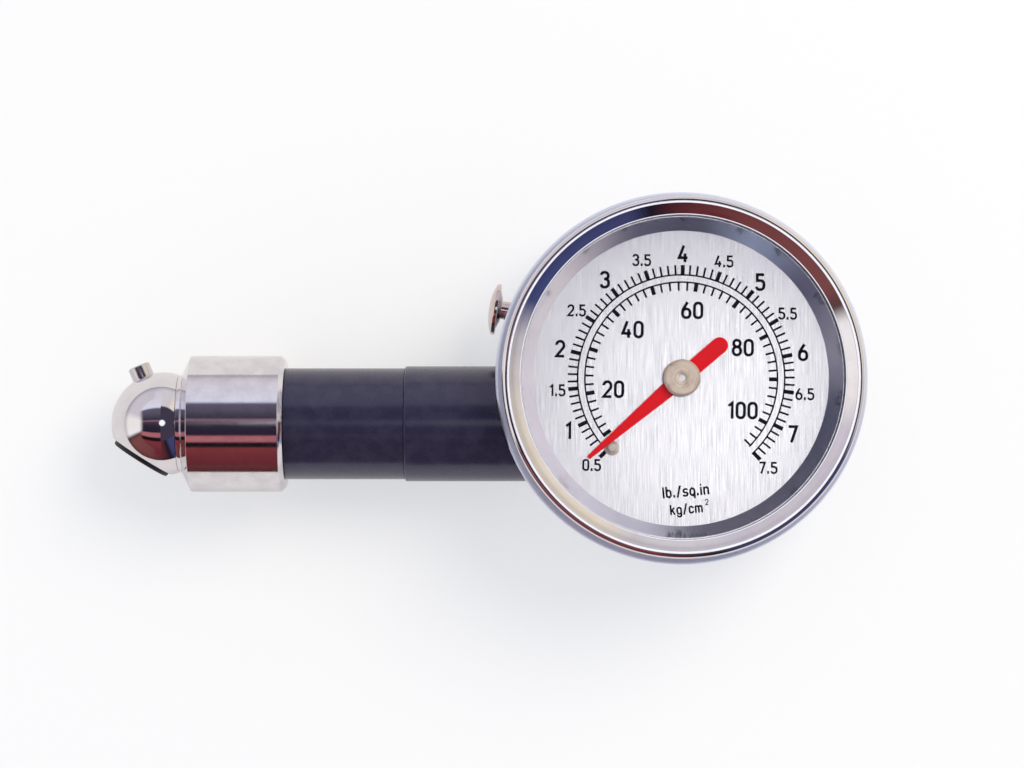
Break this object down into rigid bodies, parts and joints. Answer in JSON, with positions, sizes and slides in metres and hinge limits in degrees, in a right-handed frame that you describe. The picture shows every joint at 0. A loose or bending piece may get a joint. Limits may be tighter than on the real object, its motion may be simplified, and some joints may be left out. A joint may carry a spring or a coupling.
{
  "type": "tyre pressure gauge",
  "caption": "Round dial tyre pressure gauge on a straight sleeved handle, with an angled ball air chuck, a valve pin and a push button that releases the reading.",
  "frame": {"origin": "centre of the case's flat back face, on the dial's axis", "axes": "+Z out of the dial towards the reader, +Y up on the dial, and the handle and chuck lie towards -X"},
  "size_m": [0.1154, 0.0564, 0.0261],
  "materials": {
    "case_zinc": "satin",
    "bright_chrome": "polished",
    "bright_steel": "bright turned",
    "movement_steel": "satin",
    "spring_steel": "bright wire",
    "movement_brass": "satin",
    "socket_brass": "cast and machined",
    "hub_brass": "turned",
    "button_nickel": "nickel plated",
    "pointer_red": "gloss",
    "dial_silver": "brushed",
    "ring_silver": "satin",
    "carrier_black": "matte",
    "sleeve_black": "satin",
    "rubber_black": "matte",
    "lens_clear": "clear"
  },
  "bodies": {
    "case": {"case_cup": "case_zinc", "bezel_ring": "bright_chrome", "collar": "bright_chrome", "chuck_head": "bright_chrome", "deflator_pin": "bright_steel", "stop_pin": "bright_steel", "back_screws": "bright_steel", "hairspring_stud": "movement_steel", "pillar_screws": "movement_steel", "plate_screws": "movement_steel", "release_spring": "spring_steel", "check_spring": "spring_steel", "hairspring": "spring_steel", "movement_back_plate": "movement_brass", "movement_front_plate": "movement_brass", "movement_pillars": "movement_brass", "bourdon_tube": "movement_brass", "socket_block": "socket_brass", "stem_tube": "socket_brass", "valve_plug": "socket_brass", "button_guide": "socket_brass", "core_probe": "socket_brass", "saddle_washer": "socket_brass", "dial_plate": "dial_silver", "spacer_ring": "ring_silver", "dial_carrier": "carrier_black", "wide_sleeve": "sleeve_black", "narrow_sleeve": "sleeve_black", "mouth_seal": "rubber_black", "check_seat": "rubber_black", "lens_gasket": "rubber_black", "lens": "lens_clear"},
    "pointer": {"pinion_arbor": "movement_steel", "pointer": "pointer_red", "pointer_hub": "hub_brass", "hub_washer": "bright_steel", "hairspring_collet": "movement_brass"},
    "sector": {"sector_gear": "movement_brass", "sector_arbor": "movement_steel", "sector_link_pin": "movement_steel"},
    "tube_end": {"tube_tip": "movement_brass", "tip_link_pin": "movement_steel"},
    "link": {"connecting_link": "movement_brass"},
    "button": {"release_button": "button_nickel", "release_poppet": "rubber_black"},
    "check_valve": {"check_poppet": "socket_brass"}
  },
  "joints": [
    {"name": "pointer_turn", "type": "hinge", "parent": "case", "child": "pointer", "pos_m": [0, 0, 0.009], "axis": [0, 0, -1], "range_deg": [0, 266], "stiffness_Nm_per_rad": 0.0006, "deforming": ["hairspring"]},
    {"name": "sector_turn", "type": "hinge", "parent": "case", "child": "sector", "pos_m": [-0.00824, -0.00824, 0.009], "axis": [0, 0, 1], "range_deg": [0, 27.8]},
    {"name": "tube_end_drift", "type": "hinge", "parent": "case", "child": "tube_end", "pos_m": [0.01105, 0.00511, 0.009], "axis": [0, 0, 1], "range_deg": [0, 5.13], "deforming": ["bourdon_tube"]},
    {"name": "link_swing", "type": "hinge", "parent": "tube_end", "child": "link", "pos_m": [-0.00894, -0.0145, 0.0098], "axis": [0, 0, 1], "range_deg": [-5.13, 0]},
    {"name": "button_press", "type": "slide", "parent": "case", "child": "button", "axis": [0.9877, -0.1564, 0], "range_m": [0, 0.0008], "stiffness_N_per_m": 900, "springref_m": -0.001, "deforming": ["release_spring"]},
    {"name": "check_valve_lift", "type": "slide", "parent": "case", "child": "check_valve", "axis": [1, 0, 0], "range_m": [0, 0.0012], "stiffness_N_per_m": 120, "springref_m": -0.001, "deforming": ["check_spring"]}
  ],
  "couplings": [
    {"joint": "sector_turn", "follows": "pointer_turn", "ratio": 0.10417},
    {"joint": "tube_end_drift", "follows": "pointer_turn", "ratio": 0.019164},
    {"joint": "link_swing", "follows": "pointer_turn", "ratio": -0.019164}
  ]
}
